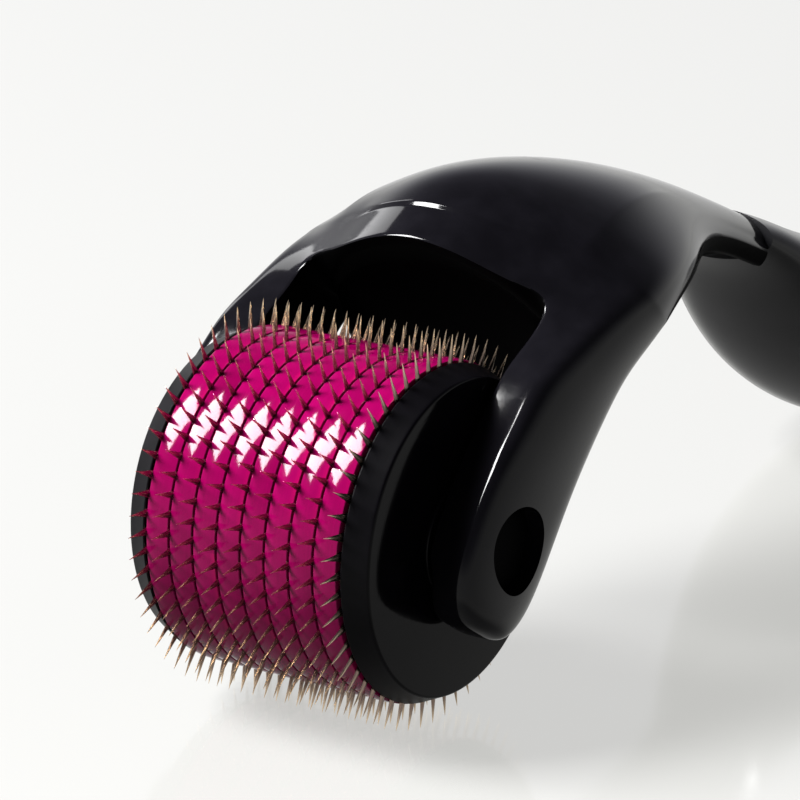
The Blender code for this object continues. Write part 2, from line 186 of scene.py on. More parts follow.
class Shade:
    """One output socket of a node tree; arithmetic on it adds Math nodes."""

    def __init__(self, nodes: Nodes, socket: bpy.types.NodeSocket) -> None:
        """Wrap a socket that belongs to the given nodes."""
        self.nodes = nodes
        self.socket = socket

    def _math(self, operation: str, *terms: Shade | float) -> Shade:
        """Add a Math node for the operation on the terms, in their order."""
        node = self.nodes.add("ShaderNodeMath", {"operation": operation}, dict(enumerate(terms)))
        return Shade(self.nodes, node.outputs[0])

    def __add__(self, other: Shade | float) -> Shade:
        """Sum."""
        return self._math("ADD", self, other)

    __radd__ = __add__

    def __mul__(self, other: Shade | float) -> Shade:
        """Product."""
        return self._math("MULTIPLY", self, other)

    __rmul__ = __mul__

    def __sub__(self, other: Shade | float) -> Shade:
        """Difference."""
        return self._math("SUBTRACT", self, other)

    def __rsub__(self, other: float) -> Shade:
        """Difference from a number."""
        return self._math("SUBTRACT", other, self)

    def __truediv__(self, other: Shade | float) -> Shade:
        """Quotient."""
        return self._math("DIVIDE", self, other)

    def __pow__(self, other: float) -> Shade:
        """Power."""
        return self._math("POWER", self, other)

    def floor(self) -> Shade:
        """Whole number below."""
        return self._math("FLOOR", self)

    def fraction(self) -> Shade:
        """Part after the whole number."""
        return self._math("FRACT", self)

    def absolute(self) -> Shade:
        """Size without sign."""
        return self._math("ABSOLUTE", self)

    def turn_from(self, other: Shade) -> Shade:
        """Angle, in radians, of the point (other, self)."""
        return self._math("ARCTAN2", self, other)

    def ramp(self, low: float, high: float) -> Shade:
        """Smooth step from 0 to 1 while this goes from low to high."""
        node = self.nodes.add("ShaderNodeMapRange", {"interpolation_type": "SMOOTHSTEP"},
                              {0: self, 1: low, 2: high})
        return Shade(self.nodes, node.outputs[0])


class Nodes:
    """The node tree of one new material or world."""

    def __init__(self, owner: bpy.types.Material | bpy.types.World, shader: str = "Principled BSDF") -> None:
        """Turn on the owner's nodes and find the shader that they start with."""
        owner.use_nodes = True
        self.owner = owner
        self.tree = owner.node_tree
        self.shader = self.tree.nodes[shader]

    def add(self, kind: str, settings: dict | None = None, inputs: dict | None = None) -> bpy.types.Node:
        """Add a node.

        Args:
            kind: the node's type.
            settings: its properties, and "stops" for a colour ramp's positions and colours.
            inputs: the values or links of its sockets, by name or number.

        Returns:
            The new node.
        """
        node = self.tree.nodes.new(kind)
        for name, setting in (settings or {}).items():
            if name == "stops":
                ramp = node.color_ramp.elements
                for index, (position, colour) in enumerate(setting):
                    stop = ramp[index] if index < 2 else ramp.new(position)
                    stop.position = position
                    stop.color = (*colour, 1.0)
            else:
                setattr(node, name, setting)
        self.feed(node, inputs or {})
        return node

    def feed(self, node: bpy.types.Node, inputs: dict) -> None:
        """Set or link sockets of a node, by name or number."""
        for key, value in inputs.items():
            if isinstance(value, Shade):
                self.tree.links.new(value.socket, node.inputs[key])
            else:
                node.inputs[key].default_value = value

    def place(self, centre: Vector) -> Shade:
        """Object coordinates counted from a centre."""
        source = self.add("ShaderNodeTexCoord")
        shift = self.add("ShaderNodeMapping", {}, {"Vector": Shade(self, source.outputs["Object"]),
                                                   "Location": -centre})
        return Shade(self, shift.outputs[0])

    def parts(self, vector: Shade) -> tuple[Shade, Shade, Shade]:
        """The three parts of a vector."""
        node = self.add("ShaderNodeSeparateXYZ", {}, {0: vector})
        return Shade(self, node.outputs[0]), Shade(self, node.outputs[1]), Shade(self, node.outputs[2])

    def vector(self, x: Shade | float, y: Shade | float, z: Shade | float) -> Shade:
        """A vector from three parts."""
        return Shade(self, self.add("ShaderNodeCombineXYZ", {}, {0: x, 1: y, 2: z}).outputs[0])

    def about(self, axle: Vector) -> tuple[Shade, Shade, Shade]:
        """Place along the axle, distance from it and angle round it, in radians from +Y."""
        x, y, z = self.parts(self.place(axle))
        return x, (y * y + z * z) ** 0.5, z.turn_from(y)

    def noise(self, vector: Shade, scale: float, detail: float) -> Shade:
        """Smooth noise from 0 to 1 with about scale waves to a unit."""
        node = self.add("ShaderNodeTexNoise", {}, {"Vector": vector, "Scale": scale, "Detail": detail})
        return Shade(self, node.outputs[0])

    def grain(self, where: tuple[Shade, ...], waves: tuple[float, ...], detail: float) -> Shade:
        """Noise stretched along three coordinates, with so many waves to a unit of each."""
        return self.noise(self.vector(*(part * wave for part, wave in zip(where, waves))), 1.0, detail)

    def mix(self, factor: Shade, first: Colour | Shade, second: Colour | Shade) -> Shade:
        """Blend two colours."""
        wanted = [colour if isinstance(colour, Shade) else (*colour, 1.0) for colour in (first, second)]
        node = self.add("ShaderNodeMix", {"data_type": "RGBA"}, {0: factor, 6: wanted[0], 7: wanted[1]})
        return Shade(self, node.outputs[2])

    def clouded(self, cloud: Shade, colour: Colour, paler: float) -> Shade:
        """The colour, up to so many times paler where the cloud is thick."""
        return self.mix(cloud.ramp(0.3, 0.8), colour, tuple(part * paler for part in colour))

    def bump(self, height: Shade, depth: float) -> Shade:
        """Normal of a surface whose height, from 0 to 1, stands for a depth in metres."""
        return Shade(self, self.add("ShaderNodeBump", {}, {"Height": height, "Distance": depth}).outputs[0])

    def principled(self, **inputs: object) -> None:
        """Set sockets of the Principled shader, with _ for a space in their names."""
        self.feed(self.shader, {name.replace("_", " "): value for name, value in inputs.items()})

    def paint_shade_where(self, factor: Shade) -> None:
        """Paint shade: mix a near-black, glossless plastic over the Principled shader where the factor is 1.
        """
        painted_shade = self.add("ShaderNodeBsdfPrincipled", {}, {"Base Color": (0.0003, 0.0003, 0.0004, 1.0),
                                                         "Roughness": 0.6, "Specular IOR Level": 0.01})
        blend = self.add("ShaderNodeMixShader", {}, {0: factor})
        self.tree.links.new(self.shader.outputs[0], blend.inputs[1])
        self.tree.links.new(painted_shade.outputs[0], blend.inputs[2])
        self.tree.links.new(blend.outputs[0], self.tree.nodes["Material Output"].inputs["Surface"])


# ---- finishes ----
# Waves are noise waves to a metre along the axle, to a radian round it, and to a unit of a third coordinate.


@dataclass(frozen=True)
class RingFinish:
    """Polished magenta plastic, a little cloudy, with fine lathe lines round it."""

    axle: Vector
    pitch: float
    deep: Colour = (0.056, 0.0001, 0.015)
    clear: Colour = (0.105, 0.0002, 0.029)
    # Painted glow: the lighter colour that one edge of each ring takes where light comes through.
    edge: Colour = (0.150, 0.001, 0.030)
    line_waves: tuple[float, ...] = (9000.0, 1.5, 0.0)
    wear_waves: tuple[float, ...] = (2500.0, 9.0, 1.0)
    drift_along: float = 120.0
    drift_scale: float = 1.3
    ring_scale: float = 3.7
    # Weights of the ring's own tone, the drift and the lines, and what is taken off their sum.
    tone_weights: tuple[float, ...] = (0.8, 0.6, 0.25, 0.35)
    # Where the painted glow sets in: across a ring, as a share of the pitch, and in the drift.
    painted_glow_across: Point = (0.72, 0.95)
    painted_glow_drift: Point = (0.45, 0.75)
    # Share of the painted glow at its strongest.
    glow: float = 0.7
    # Roughness that the lines and the wear add, and the least.
    dulling: tuple[float, ...] = (0.05, 0.07, 0.015)
    relief: float = 0.0016 * MM
    level: float = 0.085

    def build(self) -> bpy.types.Material:
        """Make the material.

        Each ring has a tone of its own, the tone drifts round the drum, and one edge is painted lighter: a
        painted glow where light comes through. Lathe lines are noise that is stretched round the drum.

        Returns:
            The material.
        """
        nodes = Nodes(bpy.data.materials.new("magenta_plastic_look"))
        x, radius, turn = nodes.about(self.axle)
        across = x / self.pitch
        ring = across.floor()
        own_tone = nodes.noise(nodes.vector(ring, 0.0, 0.0), self.ring_scale, 0.0)
        drift = nodes.noise(nodes.vector(ring, turn, x * self.drift_along), self.drift_scale, 2.0)
        lines = nodes.grain((x, turn, radius), self.line_waves, 2.0)
        own_weight, drift_weight, line_weight, less = self.tone_weights
        tone = own_tone * own_weight + drift * drift_weight + lines * line_weight - less
        colour = nodes.mix(tone.ramp(0.1, 0.9), self.deep, self.clear)
        # Painted glow where light comes through: one edge of each ring, where the drift is high.
        glow = across.fraction().ramp(*self.painted_glow_across) * drift.ramp(*self.painted_glow_drift)
        colour = nodes.mix(glow * self.glow, colour, self.edge)
        wear = nodes.grain((x, turn, ring), self.wear_waves, 3.0)
        line_dulling, wear_dulling, least = self.dulling
        nodes.principled(Base_Color=colour, Roughness=lines * line_dulling + wear * wear_dulling + least,
                         Normal=nodes.bump(lines, self.relief), Specular_IOR_Level=self.level)
        return nodes.owner


@dataclass(frozen=True)
class BlackFinish:
    """Polished black moulded plastic with a faint wave, hair scratches and duller specks.

    Faces nearer than "inside" to the middle plane that do not look upwards get painted shade, near-black and
    glossless.
    """

    name: str
    colour: Colour = (0.0015, 0.0014, 0.0019)
    roughness: float = 0.09
    wave: float = 0.004 * MM
    level: float = 0.13
    inside: float = 0.0
    wave_scale: float = 160.0
    cloud_scale: float = 420.0
    paler: float = 1.6
    # Hair scratches: noise waves to a metre along x and y, from z into y, and along z.
    hair_waves: tuple[float, ...] = (900.0, 300.0, 5200.0)
    speck_dulling: float = 0.05
    # Distance beyond "inside", and the normal's z, over which the painted shade ends.
    shade_fade: Point = (0.15 * MM, 0.35 * MM)
    shade_upward: Point = (0.05, 0.30)

    def build(self) -> bpy.types.Material:
        """Make the material: a slow wave for the moulding and stretched noise for scratches.

        Returns:
            The material.
        """
        nodes = Nodes(bpy.data.materials.new(self.name))
        where = nodes.place(Vector((0.0, 0.0, 0.0)))
        x, y, z = nodes.parts(where)
        cloud = nodes.noise(where, self.cloud_scale, 3.0)
        sideways, slant, upright = self.hair_waves
        hair = nodes.noise(nodes.vector(x * sideways, y * sideways + z * slant, z * upright), 1.0, 2.0)
        specks = cloud.ramp(0.5, 0.8) * self.speck_dulling + hair.ramp(0.62, 0.75) * self.speck_dulling
        nodes.principled(Base_Color=nodes.clouded(cloud, self.colour, self.paler),
                         Roughness=specks + self.roughness, Specular_IOR_Level=self.level,
                         Normal=nodes.bump(nodes.noise(where, self.wave_scale, 1.0), self.wave))
        # Painted shade in the fork's hollow: the arms' inner faces and the web's underside, where shade falls.
        if self.inside:
            facing = Shade(nodes, nodes.add("ShaderNodeTexCoord").outputs["Normal"])
            beyond = x.absolute().ramp(*(self.inside + fade for fade in self.shade_fade))
            nodes.paint_shade_where((1.0 - beyond) * (1.0 - nodes.parts(facing)[2].ramp(*self.shade_upward)))
        return nodes.owner


@dataclass(frozen=True)
class CapFinish:
    """Polished black plastic with lathe lines round the drum's axis, a duller rim and painted shade on the
    axle.
    """

    axle: Vector
    rim: float
    # Painted shade: inside this radius the axle, where it runs into the fork's hole, is near-black and
    # glossless.
    shaded_axle_radius: float = 2.6 * MM
    shade_fade: float = 0.1 * MM
    rim_fade: float = 0.25 * MM
    colour: Colour = (0.0006, 0.0005, 0.0008)
    line_waves: tuple[float, ...] = (9000.0, 1.2, 5000.0)
    cloud_scale: float = 500.0
    paler: float = 1.7
    # Roughness that the lines, the cloud and the rim add, and the least.
    dulling: tuple[float, ...] = (0.06, 0.05, 0.3, 0.03)
    relief: float = 0.0012 * MM
    level: float = 0.06

    def build(self) -> bpy.types.Material:
        """Make the material: noise of the distance from the axis and of the place along it.

        Returns:
            The material.
        """
        nodes = Nodes(bpy.data.materials.new("cap_plastic_look"))
        x, radius, turn = nodes.about(self.axle)
        lines = nodes.grain((x, turn, radius), self.line_waves, 2.0)
        cloud = nodes.noise(nodes.place(self.axle), self.cloud_scale, 3.0)
        rim = radius.ramp(self.rim - self.rim_fade, self.rim)
        line_dulling, cloud_dulling, rim_dulling, least = self.dulling
        nodes.principled(Base_Color=nodes.clouded(cloud, self.colour, self.paler),
                         Roughness=lines * line_dulling + cloud * cloud_dulling + rim * rim_dulling + least,
                         Normal=nodes.bump(lines, self.relief), Specular_IOR_Level=self.level)
        # Painted shade on the axle in the fork's hole.
        nodes.paint_shade_where(1.0 - radius.ramp(self.shaded_axle_radius - self.shade_fade, self.shaded_axle_radius))
        return nodes.owner


@dataclass(frozen=True)
class NeedleFinish:
    """Bright warm steel with painted shade at the needles' roots and a painted highlight towards their tips.
    """

    axle: Vector
    root: float
    tip: float
    # Painted highlight: the colour towards the tips.
    pale: Colour = (0.84, 0.66, 0.45)
    # Painted shade: the colour at the roots, deep between the rings.
    dark: Colour = (0.16, 0.11, 0.10)
    mark_waves: tuple[float, ...] = (14000.0, 260.0, 900.0)
    # The tone, from the painted shade at the roots to the painted highlight at the tips, is reach times
    # (share of the way to the tip) to the power, plus the marks' share.
    reach: float = 0.85
    power: float = 1.4
    mark_share: float = 0.25
    mark_dulling: float = 0.2
    roughness: float = 0.16
    relief: float = 0.002 * MM

    def build(self) -> bpy.types.Material:
        """Make the material: painted shade to highlight out along the needles, with grinding marks along it.

        Returns:
            The material.
        """
        nodes = Nodes(bpy.data.materials.new("needle_steel_look"))
        x, radius, turn = nodes.about(self.axle)
        # Painted shade at the roots and painted highlight at the tips, by the distance from the axis.
        out = radius.ramp(self.root, self.tip)
        marks = nodes.grain((x, turn, radius), self.mark_waves, 3.0)
        tone = out ** self.power * self.reach + marks * self.mark_share
        nodes.principled(Base_Color=nodes.mix(tone, self.dark, self.pale), Metallic=1.0,
                         Roughness=marks * self.mark_dulling + self.roughness,
                         Normal=nodes.bump(marks, self.relief))
        return nodes.owner


@dataclass(frozen=True)
class FloorFinish:
    """Pale, softly reflecting table top that shines towards low views and is duller from above."""

    colour: Colour = (0.080, 0.080, 0.078)
    shade: Colour = (0.030, 0.030, 0.030)
    glow: Colour = (1.0, 1.0, 0.965)
    above: Colour = (0.40, 0.40, 0.39)
    glow_strength: float = 0.72
    # Where the glow and the gloss set in, as the view goes from straight down (0) to level (1).
    glow_view: Point = (0.30, 0.66)
    gloss_view: Point = (0.50, 0.66)
    gloss_roughness: float = 0.10
    gloss_index: float = 2.4
    cloud_scale: float = 40.0
    cloud_dulling: float = 0.1
    roughness: float = 0.5

    def build(self) -> bpy.types.Material:
        """Make the material: a glow that grows towards grazing views, with a faint cloud in the roughness.

        Returns:
            The material.
        """
        nodes = Nodes(bpy.data.materials.new("table_top"))
        grazing = Shade(nodes, nodes.add("ShaderNodeLayerWeight", {}, {"Blend": 0.5}).outputs["Facing"])
        low_view = grazing.ramp(*self.glow_view)
        cloud = nodes.noise(nodes.place(Vector((0.0, 0.0, 0.0))), self.cloud_scale, 2.0)
        nodes.principled(Base_Color=nodes.mix(low_view, self.shade, self.colour),
                         Roughness=cloud * self.cloud_dulling + self.roughness, Specular_IOR_Level=0.0,
                         Coat_Weight=grazing.ramp(*self.gloss_view), Coat_Roughness=self.gloss_roughness,
                         Coat_IOR=self.gloss_index, Emission_Color=nodes.mix(low_view, self.above, self.glow),
                         Emission_Strength=self.glow_strength)
        return nodes.owner


# ---- the roller's sizes, read from the frame ----


@dataclass
class Layout:
    """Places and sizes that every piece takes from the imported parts, and the core's that the bores share."""

    axle: Vector
    ring_radius: float
    tip_radius: float
    cap_radius: float
    boxes: dict[str, tuple[Vector, Vector]]
    core_corner: float = 5.1 * MM

    @staticmethod
    def read(frame: dict) -> Layout:
        """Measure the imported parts.


        Returns:
            The places and sizes.
        """
        axle = Vector(frame["joints"][0]["pos_m"])
        boxes = {name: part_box(name) for name in frame["nodes"]}
        reach = {name: (high.y - low.y) / 2.0 for name, (low, high) in boxes.items()}
        return Layout(axle=axle, ring_radius=reach["spacer_ring_1"], tip_radius=axle.z,
                      cap_radius=reach["end_cap_near"], boxes=boxes)

    def span(self, name: str) -> tuple[float, float]:
        """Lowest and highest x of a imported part."""
        low, high = self.boxes[name]
        return low.x, high.x

    def named(self, stem: str) -> list[str]:
        """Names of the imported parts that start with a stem, from left to right."""
        found = [name for name in self.boxes if name.startswith(stem)]
        return sorted(found, key=lambda name: self.boxes[name][0].x)

    def bored(self, outline: np.ndarray, steps: int) -> np.ndarray:
        """Carry an outline round the axle with both its ends on the core's hexagon.

        Args:
            outline: points (x, radius), the bore's two edges first and last.
            steps: number of turns.

        Returns:
            Points by turn and by outline point.
        """
        turns = full_turn(steps)
        profiles = np.repeat(outline[None], steps, axis=0)
        profiles[:, (0, -1), 1] = hexagon_reach(self.core_corner, turns - math.pi / 2.0)[:, None]
        return revolve(profiles, turns, self.axle)


def hexagon_reach(corner: float, turn: np.ndarray) -> np.ndarray:
    """Distance from the axis to a hexagon: corner cos 30 / cos(angle from the nearest side's middle)."""
    sixth = math.pi / 3.0
    return corner * math.cos(sixth / 2.0) / np.cos((turn % sixth) - sixth / 2.0)


def revolve(profile: np.ndarray, turns: np.ndarray, axle: Vector) -> np.ndarray:
    """Carry profiles of (x, radius) round the axle.

    Args:
        profile: one (x, radius) row for all turns, or one for each turn.
        turns: angles from +Y towards +Z, in radians.
        axle: a point on the axis.

    Returns:
        Points (x, radius cos t, radius sin t) from the axle, by turn and by profile point.
    """
    shape = np.broadcast_to(profile, (len(turns), *profile.shape[-2:]))
    radius = shape[..., 1]
    out = np.stack([shape[..., 0], radius * np.cos(turns)[:, None], radius * np.sin(turns)[:, None]], axis=-1)
    return out + np.array(axle) * (0.0, 1.0, 1.0)


def dress(piece: bpy.types.Object, finish: bpy.types.Material, body: str, node: str) -> None:
    """Give a piece its finish, tell the frame about it and report it.

    Args:
        piece: the piece.
        finish: its material.
        body: the body that it rides on.
        node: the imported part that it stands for.
    """
    piece.data.materials.clear()
    piece.data.materials.append(finish)
    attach(piece, body)
    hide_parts(node)
    LOG.info("%s: %d faces", piece.name, len(piece.data.polygons))


# ---- drum ----


@dataclass
class SpacerRings:
    """The magenta rings between the needle rows."""

    layout: Layout
    steps: int = 192
    edge_radius: float = 0.05 * MM
    edge_steps: int = 6
    face_steps: int = 9
    overlap: float = 0.08 * MM
    crown: float = 0.06 * MM
    sharp_degrees: float = 40.0

    def profile(self, low: float, high: float) -> np.ndarray:
        """Outline of a ring, whose face rises crown times 4 s (1 - s) for s from its left to its right.

        Args:
            low: x of the ring's left side.
            high: x of its right side.

        Returns:
            Points (x, radius) from the bore's left edge over the rounded rim to its right edge.
        """
        top = self.layout.ring_radius - self.edge_radius - self.crown
        left = arc((low + self.edge_radius, top), self.edge_radius, 180.0, 90.0, self.edge_steps)
        right = arc((high - self.edge_radius, top), self.edge_radius, 90.0, 0.0, self.edge_steps)
        across = np.linspace(0.0, 1.0, self.face_steps)[1:-1]
        face = np.stack([left[-1, 0] + across * (right[0, 0] - left[-1, 0]),
                         top + self.edge_radius + self.crown * 4.0 * across * (1.0 - across)], axis=1)
        return np.concatenate([[(low, 0.0)], left, face, right, [(high, 0.0)]])

    def build(self, finish: bpy.types.Material) -> None:
        """Make every ring, with its hexagonal bore, in the given finish."""
        for name in self.layout.named("spacer_ring_"):
            low, high = self.layout.span(name)
            outline = self.profile(low - self.overlap, high + self.overlap)
            faces = quad_grid(self.steps, len(outline), True, True)
            piece = make_piece(name + "_polished", self.layout.bored(outline, self.steps), [faces])
            piece.data.set_sharp_from_angle(angle=math.radians(self.sharp_degrees))
            dress(piece, finish, DRUM, name)


@dataclass
class NeedleDiscs:
    """Thin steel discs whose rims carry thorn-shaped needles."""

    layout: Layout
    count: int = 56
    row_turns: tuple[float, ...] = (0.68, 0.48, 0.56, 0.57, 0.34, 0.53, 0.75, 0.23, 0.75)
    root_depth: float = 0.45 * MM
    sink: float = 0.15 * MM
    sheet_share: float = 0.5
    bevel_share: float = 0.2
    half_base: float = 0.31 * MM
    half_tip: float = 0.012 * MM
    sections: tuple[float, ...] = (0.0, 0.16, 0.36, 0.60, 0.84, 1.0)
    taper: float = 1.25
    thinning: float = 0.6
    flank: float = 0.45
    steps: int = 168
    sharp_degrees: float = 50.0

    def needle(self, half_sheet: float) -> np.ndarray:
        """Sections of one needle: hexagons that narrow towards the tip.

        Half width is base (1 - s) to the power taper plus the tip's own, and half thickness is the sheet's
        times (1 - s) to the power thinning, for s from the root to the tip.

        Args:
            half_sheet: half the disc's thickness.

        Returns:
            Points (along x, outwards, round the rim) by section and corner.
        """
        along = np.array(self.sections)
        wide = self.half_base * (1.0 - along) ** self.taper + self.half_tip
        thick = half_sheet * (1.0 - along) ** self.thinning + self.half_tip * 0.5
        root = self.layout.ring_radius - self.root_depth - self.sink
        out = root + along * (self.layout.tip_radius - root)
        side = self.flank
        corner = np.array([(0.0, 1.0), (1.0, side), (1.0, -side), (0.0, -1.0), (-1.0, -side), (-1.0, side)])
        points = np.empty((len(along), len(corner), 3))
        points[..., 0] = thick[:, None] * corner[None, :, 0]
        points[..., 1] = out[:, None]
        points[..., 2] = wide[:, None] * corner[None, :, 1]
        return points

    def needles(self, low: float, high: float, share: float) -> tuple[np.ndarray, list[np.ndarray]]:
        """All the needles of one disc, turned to their places.

        Args:
            low: x of the disc's left side.
            high: x of its right side.
            share: how far the row is turned, as a share of the angle from needle to needle.

        Returns:
            Points and groups of faces.
        """
        one = self.needle((high - low) / 2.0)
        sections, corners = one.shape[:2]
        turn = (math.pi + (np.arange(self.count) + share) * 2.0 * math.pi / self.count)[:, None, None]
        x = np.broadcast_to((low + high) / 2.0 + one[None, ..., 0], (self.count, sections, corners))
        y = one[None, ..., 1] * np.cos(turn) - one[None, ..., 2] * np.sin(turn)
        z = one[None, ..., 1] * np.sin(turn) + one[None, ..., 2] * np.cos(turn)
        points = np.stack([x, y, z], axis=-1) + np.array(self.layout.axle) * (0.0, 1.0, 1.0)
        first = np.arange(self.count)[:, None, None] * sections * corners
        sides = (quad_grid(sections, corners, False, True)[None] + first).reshape(-1, 4)
        root = (np.arange(corners)[None, ::-1] + first[:, 0]).reshape(-1, corners)
        tip = (np.arange(corners)[None] + first[:, 0] + (sections - 1) * corners).reshape(-1, corners)
        return points.reshape(-1, 3), [sides[:, ::-1], root[:, ::-1], tip[:, ::-1]]

    def sheet(self, low: float, high: float) -> tuple[np.ndarray, np.ndarray]:
        """The flat disc with its bevelled rim and hexagonal bore.

        Args:
            low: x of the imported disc's left side.
            high: x of its right side.

        Returns:
            Points and faces.
        """
        rim = self.layout.ring_radius - self.root_depth
        thinned = (high - low) * (1.0 - self.sheet_share) / 2.0
        low, high = low + thinned, high - thinned
        bevel = (high - low) * self.bevel_share
        outline = np.array([(low, 0.0), (low, rim - bevel), (low + bevel, rim), (high - bevel, rim),
                            (high, rim - bevel), (high, 0.0)])
        points = self.layout.bored(outline, self.steps)
        return points.reshape(-1, 3), quad_grid(self.steps, len(outline), True, True)

    def build(self, finish: bpy.types.Material) -> None:
        """Make every disc, with its row of needles, in the given finish."""
        for name, share in zip(self.layout.named("needle_disc_"), self.row_turns):
            low, high = self.layout.span(name)
            disc_points, disc_faces = self.sheet(low, high)
            needle_points, needle_faces = self.needles(low, high, share)
            faces = [disc_faces] + [group + len(disc_points) for group in needle_faces]
            piece = make_piece(name + "_needles", np.concatenate([disc_points, needle_points]), faces)
            piece.data.set_sharp_from_angle(angle=math.radians(self.sharp_degrees))
            dress(piece, finish, DRUM, name)


@dataclass
class EndCaps:
    """The black flanges with the axles that turn in the fork."""

    layout: Layout
    steps: int = 192
    gap: float = 0.05 * MM
    flange: float = 1.5 * MM
    slope: float = 0.55 * MM
    lip: float = 0.22 * MM
    lip_start: float = 80.0
    inner_edge: float = 0.10 * MM
    boss_radius: float = 3.6 * MM
    boss_height: float = 0.15 * MM
    boss_edge: float = 0.1 * MM
    axle_radius: float = 2.45 * MM
    chamfer: float = 0.3 * MM
    spigot_radius: float = 2.55 * MM
    edge_steps: int = 5
    lip_steps: int = 8
    boss_steps: int = 4
    sharp_degrees: float = 35.0

    def profile(self) -> np.ndarray:
        """Outline of the near cap, with arcs at its rim, its boss and the axle's end.

        Returns:
            Points (x, radius) from the spigot's end over the rim to the axle's end.
        """
        start, end = self.layout.span("end_cap_near")
        inner = self.layout.span(self.layout.named("needle_disc_")[-1])[1] + self.gap
        outer = inner + self.flange
        boss = outer + self.boss_height
        rim = self.layout.cap_radius
        edge = arc((inner + self.inner_edge, rim - self.inner_edge), self.inner_edge, 180.0, 90.0,
                   self.edge_steps)
        corner = arc((outer - self.lip, rim - self.slope - self.lip), self.lip, self.lip_start, 0.0,
                     self.lip_steps)
        step = arc((boss - self.boss_edge, self.boss_radius - self.boss_edge), self.boss_edge, 90.0, 0.0,
                   self.boss_steps)
        tip = arc((end - self.chamfer, self.axle_radius - self.chamfer), self.chamfer, 90.0, 0.0,
                  self.edge_steps)
        return np.concatenate([[(start, 0.0), (start, self.spigot_radius), (inner, self.spigot_radius)],
                               edge, corner, [(outer, self.boss_radius)], step,
                               [(boss, self.axle_radius)], tip, [(end, 0.0)]])

    def build(self, finish: bpy.types.Material) -> None:
        """Make both caps in the given finish; the far one is mirrored and its faces are turned round."""
        outline = self.profile()
        width = len(outline) - 2
        rings = revolve(outline[1:-1], full_turn(self.steps), self.layout.axle).reshape(-1, 3)
        poles = np.array([(x, self.layout.axle.y, self.layout.axle.z) for x in outline[[0, -1], 0]])
        points = np.concatenate([rings, poles])
        start = np.arange(self.steps) * width
        following = np.roll(start, -1)
        first = np.stack([start, following, np.full(self.steps, len(rings))], axis=1)
        last = np.stack([following + width - 1, start + width - 1, first[:, 2] + 1], axis=1)
        near = [quad_grid(self.steps, width, True, False), first, last]
        far = [group[:, ::-1] for group in near]
        for name, side, faces in (("end_cap_near", 1.0, near), ("end_cap_far", -1.0, far)):
            piece = make_piece(name + "_polished", points * (side, 1.0, 1.0), faces)
            piece.data.set_sharp_from_angle(angle=math.radians(self.sharp_degrees))
            dress(piece, finish, DRUM, name)


# ---- fork ----

TOP = ("T0", "T1", "T2")
ARM = ("T3", "T4", "T5", "M5", "B5", "B4", "B3", "M3")
WEB = ("M2", "M1", "M0")
# Share of the inner front edge's setback that a place of the arm takes.
SETBACK_SHARES = {"T3": 1.0, "T4": 0.6}
ON_MIDDLE = 1e-9


